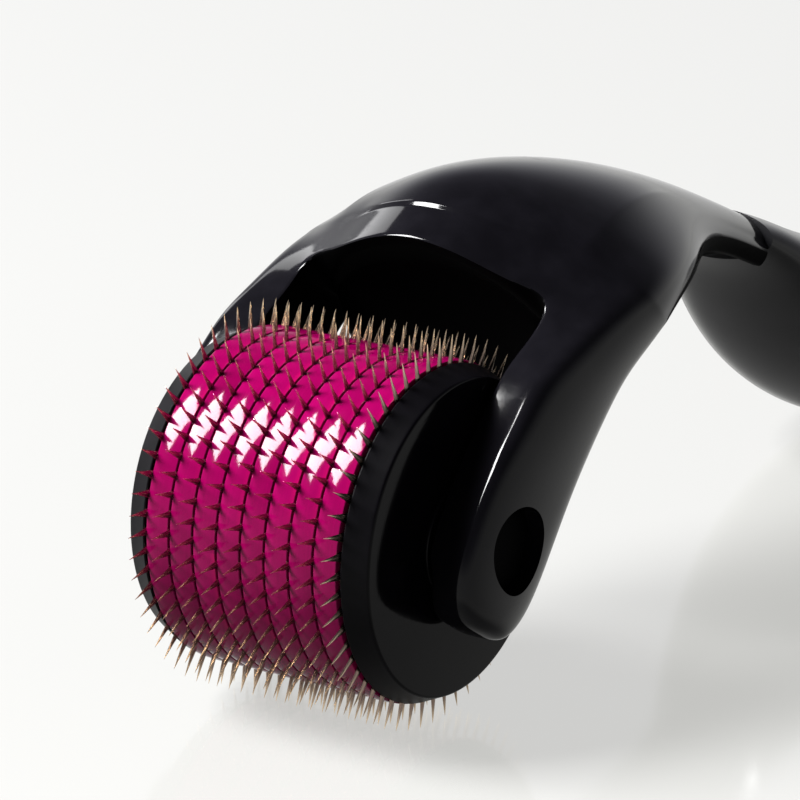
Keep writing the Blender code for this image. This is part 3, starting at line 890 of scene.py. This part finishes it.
@dataclass
class Fork:
    """The two-armed fork: sections of a cage, mirrored, softened by subdivision and drilled for the axles.

    A section of the head holds, on one side of the middle plane, the top from the middle to the outer edge
    (T0 to T5), the outer edge's middle (M5), the back edge (B5 to B3) and the front or underside of the web
    from the arm back to the middle (M3 to M0). A section of the arm holds only the arm's own places.
    """

    layout: Layout
    inner: float = 8.6 * MM
    outer: float = 12.6 * MM
    end_radius: float = 4.6 * MM
    hole_radius: float = 2.55 * MM
    hole_edge: float = 0.22 * MM
    outer_round: float = 0.75 * MM
    neck_round: float = 0.3 * MM
    # Direction of the arm in degrees, then distance along it, front and back half depth as end radius shares.
    arm_sections: tuple = (
        (57.0, -1.12, 0.42, 0.50),
        (57.0, -0.68, 0.86, 0.92),
        (56.0, 0.00, 0.96, 1.04),
    )
    # Front edge and back edge of the arm above its round end, as (y, z) in mm about the axle.
    shank_sections: tuple = (
        ((-1.73, 5.33), (6.55, 0.80)),
        ((1.22, 7.30), (8.92, 3.42)),
        ((3.75, 9.27), (11.19, 5.58)),
        ((6.64, 10.23), (12.92, 7.01)),
    )
    # How far the inner front edge stands behind the outer one at each section of the arm, in mm.
    inner_setbacks: tuple[float, ...] = (0.2, 0.5, 0.9, 1.1, 0.5, 0.15, 0.0)
    # Head, as (y, z) in mm about the axle: T0, T2, T3, T5, M0, M2, M3, M5, B; then its share of the width.
    head_sections: tuple = (
        ((6.8, 15.1), (8.1, 12.9), (9.2, 12.2), (11.2, 11.6),
         (7.4, 14.4), (8.5, 12.2), (10.6, 9.2), (12.9, 9.7), (15.2, 8.1), 1.00),
        ((9.02, 16.36), (11.0, 14.4), (11.7, 13.5), (13.6, 11.9),
         (9.4, 13.1), (9.7, 11.5), (10.9, 8.3), (14.8, 10.3), (16.8, 9.0), 1.00),
        ((9.2, 16.6), (11.2, 14.7), (12.0, 13.8), (13.8, 12.0),
         (9.6, 13.0), (9.9, 11.4), (11.0, 8.0), (15.0, 10.4), (17.0, 9.1), 1.00),
        ((13.0, 18.0), (14.4, 16.2), (15.3, 15.1), (17.0, 12.5),
         (11.8, 8.2), (11.8, 6.6), (11.8, 3.6), (18.1, 11.3), (19.6, 9.9), 0.95),
        ((20.5, 17.1), (21.1, 16.1), (21.6, 15.2), (22.6, 12.4),
         (13.6, 1.6), (13.7, 0.9), (13.8, 0.6), (23.3, 11.4), (24.6, 10.0), 0.80),
        ((28.2, 15.1), (28.4, 14.6), (28.5, 14.0), (29.0, 12.3),
         (22.0, 5.4), (22.6, 6.0), (25.6, 7.8), (29.6, 10.9), (29.8, 9.7), 0.56),
        ((36.0, 12.2), (36.1, 11.75), (36.1, 11.2), (36.2, 10.1),
         (34.4, 8.2), (34.7, 8.3), (35.3, 8.5), (36.0, 9.3), (35.9, 8.4), 0.41),
        ((43.5, 8.9), (43.4, 8.6), (43.3, 8.15), (42.85, 7.2),
         (42.45, 6.2), (42.45, 6.15), (42.45, 6.1), (42.65, 6.65), (42.35, 5.7), 0.35),
    )
    column_shares: tuple[float, ...] = (0.0, 0.36, 0.73, 1.0)
    second_column: float = 0.28
    shoulder_drop: float = 0.60
    # How much of the outer round the shoulder takes, and how sharp the cage's edges stay.
    shoulder_round: float = 0.5
    lip_crease: float = 0.75
    ridge_crease: float = 0.8
    underside_crease: float = 0.5
    arm_front_crease: float = 0.6
    arm_back_crease: float = 0.5
    shoulder_crease: float = 0.55
    levels: int = 4
    sharp_degrees: float = 38.0
    drill_steps: int = 96
    drill_reach: float = 2.0 * MM
    edge_steps: int = 6

    def arm_edges(self) -> np.ndarray:
        """Front and back edge of each arm section, as (section, edge, y or z) in metres."""
        edges = []
        for degrees, along, front, back in self.arm_sections:
            turn = math.radians(degrees)
            run, out = np.array((math.cos(turn), math.sin(turn))), np.array((-math.sin(turn), math.cos(turn)))
            edges.append((run * along + out * front, run * along - out * back))
        return np.concatenate([np.array(edges) * self.end_radius, np.array(self.shank_sections) * MM])

    def cage(self) -> tuple[dict[tuple[int, str], int], np.ndarray]:
        """Points of one half of the cage.

        Returns:
            The number of each (section, place), and the points about the axle.
        """
        places: dict[tuple[int, str], np.ndarray] = {}
        edges = self.arm_edges()
        faces = {"3": self.inner, "4": (self.inner + self.outer) / 2.0, "5": self.outer}
        for index, (front, back) in enumerate(edges):
            setback = (back - front) / np.linalg.norm(back - front) * self.inner_setbacks[index] * MM
            for level, edge in (("T", front), ("M", (front + back) / 2.0), ("B", back)):
                for column, x in faces.items():
                    inset = self.outer_round if level + column in ("T5", "B5") else 0.0
                    behind = SETBACK_SHARES.get(level + column, 0.0)
                    places[(index, level + column)] = np.array((x - inset, *(edge + setback * behind)))
        for index, (*spots_mm, width) in enumerate(self.head_sections, len(edges)):
            spots = np.array(spots_mm) * MM
            inside, outside = self.inner * width, self.outer * width
            across = {"3": inside, "4": (inside + outside) / 2.0, "5": outside}
            taper = (1.0 - width) * self.neck_round
            for level, (first, third, fourth) in (("T", spots[:3]), ("M", spots[4:7])):
                second = first + (third - first) * self.second_column
                columns = zip(self.column_shares, (first, second, third, fourth))
                for column, (share, spot) in enumerate(columns):
                    places[(index, f"{level}{column}")] = np.array((inside * share, *spot))
            shoulder = spots[2] + (spots[3] - spots[2]) * self.shoulder_drop
            shoulder_edge = outside - taper - self.outer_round * self.shoulder_round
            places[(index, "T4")] = np.array((across["4"], *shoulder))
            places[(index, "T5")] = np.array((shoulder_edge, *spots[3]))
            places[(index, "M4")] = np.array((across["4"], *((spots[6] + spots[7]) / 2.0)))
            places[(index, "M5")] = np.array((outside, *spots[7]))
            for column, x in across.items():
                inset = self.outer_round * width + taper if column == "5" else 0.0
                places[(index, "B" + column)] = np.array((x - inset, *spots[8]))
        numbers = {key: number for number, key in enumerate(places)}
        return numbers, np.array(list(places.values()))

    @property
    def joint(self) -> int:
        """Number of the first head section."""
        return len(self.arm_sections) + len(self.shank_sections)

    @property
    def last(self) -> int:
        """Number of the section at the neck's end."""
        return self.joint + len(self.head_sections) - 1

    def quads(self, numbers: dict[tuple[int, str], int]) -> np.ndarray:
        """Faces of one half of the cage.

        Args:
            numbers: the number of each (section, place).

        Returns:
            Four point numbers for each face.
        """
        keys: list[tuple[tuple[int, str], ...]] = []
        for index in range(self.last):
            chain = ARM + ARM[:1] if index < self.joint else TOP + ARM + WEB
            pairs = zip(chain, chain[1:])
            keys += [((index, a), (index, b), (index + 1, b), (index + 1, a)) for a, b in pairs]
        arm_end = (("T3", "T4", "M4", "M3"), ("T4", "T5", "M5", "M4"), ("M3", "M4", "B4", "B3"),
                   ("M4", "M5", "B5", "B4"))
        web_end = (("T0", "T1", "M1", "M0"), ("T1", "T2", "M2", "M1"), ("T2", "T3", "M3", "M2"))
        for index, ends in ((0, arm_end), (self.joint, web_end), (self.last, arm_end + web_end)):
            keys += [tuple((index, place) for place in face) for face in ends]
        return np.array([[numbers[key] for key in face] for face in keys])

    def creases(self) -> list[tuple[tuple[int, str], tuple[int, str], float]]:
        """Edges of the cage that stay sharp: the lip, its ridge, the arm's edges and the neck's end.

        Returns:
            Both ends of each edge, as (section, place), and how sharp it stays.
        """
        joint, last, ridge = self.joint, self.last, self.joint + 2
        top = TOP + ("T3",)
        head = TOP + ARM + WEB
        sharp = [((joint, a), (joint, b), self.lip_crease) for a, b in zip(top, top[1:])]
        sharp += [((joint, a), (joint, b), self.underside_crease) for a, b in (("M0", "M1"), ("M1", "M2"))]
        sharp += [((last, a), (last, b), 1.0) for a, b in zip(head, head[1:])]
        for row in (ridge - 1, ridge):
            sharp += [((row, a), (row, b), self.ridge_crease) for a, b in zip(TOP, TOP[1:])]
        for place, rows, amount in (("T3", range(1, joint), self.arm_front_crease),
                                    ("T3", range(ridge, ridge + 3), self.shoulder_crease),
                                    ("B3", range(1, joint), self.arm_back_crease)):
            sharp += [((row, place), (row + 1, place), amount) for row in rows]
        return sharp

    def build(self, finish: bpy.types.Material) -> None:
        """Mirror the half cage, weld it on the middle plane, soften it, drill the axle holes and dress it."""
        numbers, half = self.cage()
        quads = self.quads(numbers)
        middle = np.abs(half[:, 0]) < ON_MIDDLE
        other = np.where(middle, np.arange(len(half)), len(half) + np.cumsum(~middle) - 1)
        points = np.concatenate([half, (half * (-1.0, 1.0, 1.0))[~middle]]) + np.array(self.layout.axle)
        piece = make_piece("fork_moulding", points, [quads, other[quads][:, ::-1]])
        self.crease(piece.data, numbers, other)
        outwards(piece.data)
        subdivide(piece, self.levels)
        cutter = self.drill()
        cut = piece.modifiers.new("axle_holes", "BOOLEAN")
        cut.operation, cut.solver, cut.object = "DIFFERENCE", "EXACT", cutter
        settle(piece, self.sharp_degrees)
        bpy.data.objects.remove(cutter, do_unlink=True)
        dress(piece, finish, HANDLE, "fork")

    def crease(self, mesh: bpy.types.Mesh, numbers: dict, other: np.ndarray) -> None:
        """Write the creases of both halves to the mesh's edges.

        Args:
            mesh: the whole cage.
            numbers: the number of each (section, place) of the first half.
            other: the number of each point's mirror image.
        """
        ends = edge_ends(mesh)
        amount = np.zeros(len(ends))
        for first, second, sharpness in self.creases():
            pair = np.array((numbers[first], numbers[second]))
            for side in (np.sort(pair), np.sort(other[pair])):
                amount[(ends == side).all(axis=1)] = sharpness
        write_creases(mesh, amount)

    def drill(self) -> bpy.types.Object:
        """Make the cutter for both axle holes: a rod that widens in a round edge at each outer face.

        Returns:
            The cutter, which is not a piece.
        """
        edge = self.hole_edge
        flare = arc((self.outer - edge, self.hole_radius + edge), edge, 270.0, 360.0, self.edge_steps)
        side = np.concatenate([flare, [(self.outer + self.drill_reach, self.hole_radius + edge)]])
        outline = np.concatenate([(side * (-1.0, 1.0))[::-1], side])
        points = revolve(outline, full_turn(self.drill_steps), self.layout.axle)
        start = np.arange(self.drill_steps)[None] * len(outline)
        faces = [quad_grid(self.drill_steps, len(outline), True, False), start, start + len(outline) - 1]
        cutter = make_piece("axle_drill", points, faces)
        outwards(cutter.data)
        return cutter


# ---- grip ----


@dataclass
class Grip:
    """The moulded grip: octagonal sections from the neck to the tail, softened by subdivision.

    Each section is a round of half height h and half width w about a middle m; near the neck it leans back
    with the neck's end face. Subdivision draws a ring's points in to (4 + 2 cos(360 / sides)) / 6 of their
    distance, so they are spread by the inverse of that.
    """

    layout: Layout
    length: float = 88.5 * MM
    half_width: float = 8.3 * MM
    crest: float = 12.6 * MM
    neck: Point = (8.9 * MM, 5.7 * MM)
    lean: float = 0.32
    parting: float = 0.3 * MM
    neck_seam: float = 0.05 * MM
    # Share of the length, top and bottom as shares of the way up to the neck, sag and lift in mm, half width.
    sections: tuple = (
        (0.000, 1.00, 1.00, 0.0, 0.0, 0.53),
        (0.022, 0.90, 0.90, 0.0, 0.0, 0.62),
        (0.055, 0.73, 0.69, 0.0, 0.0, 0.77),
        (0.105, 0.51, 0.36, 0.0, 0.0, 0.90),
        (0.180, 0.24, 0.09, 0.0, 0.0, 0.98),
        (0.300, 0.02, 0.01, 0.0, -0.1, 1.00),
        (0.460, 0.00, 0.00, 0.4, -0.5, 0.96),
        (0.620, 0.00, 0.00, 0.9, -0.9, 0.90),
        (0.790, 0.00, 0.00, 1.8, 0.5, 0.84),
        (0.910, 0.00, 0.00, 3.3, 0.4, 0.72),
        (0.980, 0.00, 0.00, 5.2, -0.8, 0.50),
        (1.000, 0.00, 0.00, 6.6, -2.2, 0.30),
    )
    sides: int = 8
    levels: int = 4
    sharp_degrees: float = 40.0

    def build(self, finish: bpy.types.Material) -> None:
        """Make the grip, softened, flattened where it rests on the table, and dressed in the given finish."""
        share, high, low, sag, lift, width = np.array(self.sections).T
        neck_top, neck_bottom = (self.layout.axle.z + end for end in self.neck)
        top = self.crest + high * (neck_top - self.crest) - sag * MM
        base = low * neck_bottom - lift * MM
        spread = 6.0 / (4.0 + 2.0 * math.cos(2.0 * math.pi / self.sides))
        turn = np.arange(self.sides) * (2.0 * math.pi / self.sides)
        up = ((top - base) / 2.0)[:, None] * spread * np.sin(turn)
        across = (self.half_width * width)[:, None] * spread * np.cos(turn)
        start = self.layout.boxes["grip"][1].y - self.length
        along = start + (share * self.length)[:, None] + self.lean * high[:, None] * up
        along[0] -= self.parting - self.neck_seam
        loops = np.stack([across, along, ((top + base) / 2.0)[:, None] + up], axis=-1)
        poles = loops[[0, -1]].mean(axis=1)
        count = len(share) * self.sides
        faces = [quad_grid(len(share), self.sides, False, True)]
        for pole, first in ((count, 0), (count + 1, count - self.sides)):
            corner = np.arange(0, self.sides, 2)
            faces.append(np.stack([np.full(len(corner), pole), first + corner, first + corner + 1,
                                   first + (corner + 2) % self.sides], axis=1))
        piece = make_piece("grip_moulding", np.concatenate([loops.reshape(-1, 3), poles]), faces)
        write_creases(piece.data, (edge_ends(piece.data) < self.sides).all(axis=1).astype(float))
        outwards(piece.data)
        subdivide(piece, self.levels)
        settle(piece, self.sharp_degrees)
        self.rest(piece.data)
        dress(piece, finish, HANDLE, "grip")

    def rest(self, mesh: bpy.types.Mesh) -> None:
        """Lift every point that is under the table up to it."""
        points = np.empty(len(mesh.vertices) * 3)
        mesh.vertices.foreach_get("co", points)
        points = points.reshape(-1, 3)
        points[:, 2] = np.maximum(points[:, 2], 0.0)
        mesh.vertices.foreach_set("co", points.ravel())
        mesh.update()


# ---- studio ----


class Lamp(Enum):
    """The studio's soft boxes: direction from the drum, distance, width and height in metres, radiance."""

    KEY = ((-0.60, -0.40, 0.743), 0.60, 0.27, 0.33, 105.0)
    LEFT = ((-0.80, 0.46, 0.38), 0.60, 0.10, 0.20, 3.2)


@dataclass
class Studio:
    """Pale table, dim room, soft boxes and camera."""

    layout: Layout
    azimuth: float = 34.0
    elevation: float = 17.2
    distance: float = 0.231
    lens: float = 180.0
    sensor: float = 36.0
    clip_start: float = 0.01
    drum_offset: Point = (-3.407 * MM, -6.468 * MM)
    table_side: float = 6.0
    # Height of the direction (its z) and the room's colour there.
    room_shades: tuple = (
        (0.0, (0.95, 0.95, 0.93)),
        (0.10, (0.85, 0.85, 0.86)),
        (0.30, (0.33, 0.33, 0.37)),
        (0.50, (0.13, 0.128, 0.15)),
        (1.0, (0.02, 0.02, 0.025)),
    )

    def camera(self) -> None:
        """Place the camera with the drum's middle to the right of its axis and above it by the offset."""
        azimuth, elevation = math.radians(self.azimuth), math.radians(self.elevation)
        forward = Vector((-math.sin(azimuth) * math.cos(elevation), math.cos(azimuth) * math.cos(elevation),
                          -math.sin(elevation)))
        right = Vector((math.cos(azimuth), math.sin(azimuth), 0.0))
        up = right.cross(forward)
        eye = self.layout.axle - (right * self.drum_offset[0] + up * self.drum_offset[1]
                                  + forward * self.distance)
        data = bpy.data.cameras.new("camera")
        data.lens, data.sensor_width, data.clip_start = self.lens, self.sensor, self.clip_start
        camera = add_object("camera", data)
        camera.matrix_world = Matrix.Translation(eye) @ Matrix((right, up, -forward)).transposed().to_4x4()
        bpy.context.scene.camera = camera

    def softbox(self, lamp: Lamp) -> None:
        """Hang one soft box that faces the drum.

        Args:
            lamp: the soft box's place, size and radiance.
        """
        direction, distance, width, height, radiance = lamp.value
        towards = Vector(direction).normalized()
        data = bpy.data.lights.new(lamp.name.lower() + "_box", "AREA")
        data.shape, data.size, data.size_y = "RECTANGLE", width, height
        data.energy = radiance * math.pi * width * height
        light = add_object(data.name, data)
        light.matrix_world = (Matrix.Translation(self.layout.axle + towards * distance)
                              @ towards.to_track_quat("Z", "Y").to_matrix().to_4x4())

    def room(self) -> bpy.types.World:
        """Make a room that is pale at the horizon and dims upwards.

        Returns:
            The world.
        """
        nodes = Nodes(bpy.data.worlds.new("dim_room"), "Background")
        direction = Shade(nodes, nodes.add("ShaderNodeTexCoord").outputs["Generated"])
        ramp = nodes.add("ShaderNodeValToRGB", {"stops": self.room_shades}, {0: nodes.parts(direction)[2]})
        ramp.color_ramp.interpolation = "B_SPLINE"
        nodes.feed(nodes.shader, {"Color": Shade(nodes, ramp.outputs[0])})
        return nodes.owner

    def build(self) -> None:
        """Make the table, the dim room and the lights."""
        half = self.table_side / 2.0
        corners = np.array([(-half, -half, 0.0), (half, -half, 0.0), (half, half, 0.0), (-half, half, 0.0)])
        table = make_piece("table", corners, [np.array([[0, 1, 2, 3]])])
        table.data.materials.append(FloorFinish().build())
        bpy.context.scene.world = self.room()
        for lamp in Lamp:
            self.softbox(lamp)
        self.camera()
        bpy.context.scene.view_settings.view_transform = "Standard"


def main() -> None:
    """Build the roller's looks in order."""
    logging.basicConfig(level=logging.INFO, format="%(name)s: %(message)s")
    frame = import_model()
    layout = Layout.read(frame)
    pitch = layout.boxes["spacer_ring_2"][0].x - layout.boxes["spacer_ring_1"][0].x
    SpacerRings(layout).build(RingFinish(layout.axle, pitch).build())
    NeedleDiscs(layout).build(NeedleFinish(layout.axle, layout.ring_radius, layout.tip_radius).build())
    EndCaps(layout).build(CapFinish(layout.axle, layout.cap_radius - 0.5 * MM).build())
    # The fork's finish paints shade into its hollow between the arms.
    Fork(layout).build(BlackFinish("fork_plastic_look", inside=Fork.inner).build())
    matt = BlackFinish("grip_plastic_look", (0.003, 0.003, 0.0034), 0.2, 0.008 * MM, 0.25)
    Grip(layout).build(matt.build())
    core = frame["nodes"]["drum_core"]
    core.data.materials.clear()
    core.data.materials.append(BlackFinish("core_plastic_look", (0.01, 0.01, 0.011), 0.35, 0.01 * MM).build())
    LOG.info("drum_core: carried over")
    Studio(layout).build()


if __name__ == "__main__":
    main()
